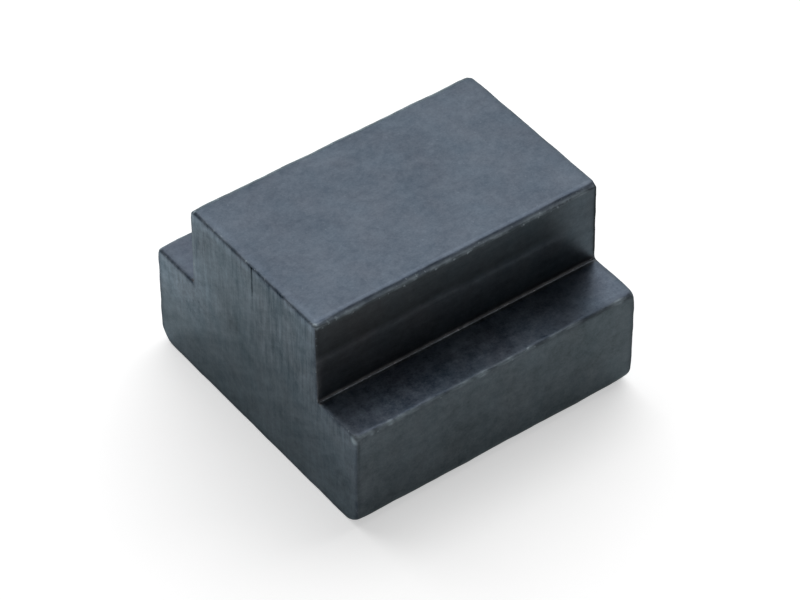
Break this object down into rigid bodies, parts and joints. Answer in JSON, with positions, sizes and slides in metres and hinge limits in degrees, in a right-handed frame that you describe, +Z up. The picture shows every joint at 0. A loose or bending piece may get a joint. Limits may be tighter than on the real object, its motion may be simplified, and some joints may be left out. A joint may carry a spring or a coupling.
{
  "type": "t-slot nut blank",
  "caption": "Plain blackened steel block of T section. Its neck stands in the mouth of a machine table's slot and its shoulders bear up under the slot's lips.",
  "frame": {"origin": "centre of the underside of the head", "axes": "+X across the slot, +Y along the slot, +Z up from the head through the neck to the top face"},
  "size_m": [0.022, 0.0222, 0.0144],
  "materials": {
    "blackened_steel": "black oxide on milled steel, satin, oiled"
  },
  "bodies": {
    "root": {"nut_body": "blackened_steel"}
  },
  "joints": []
}
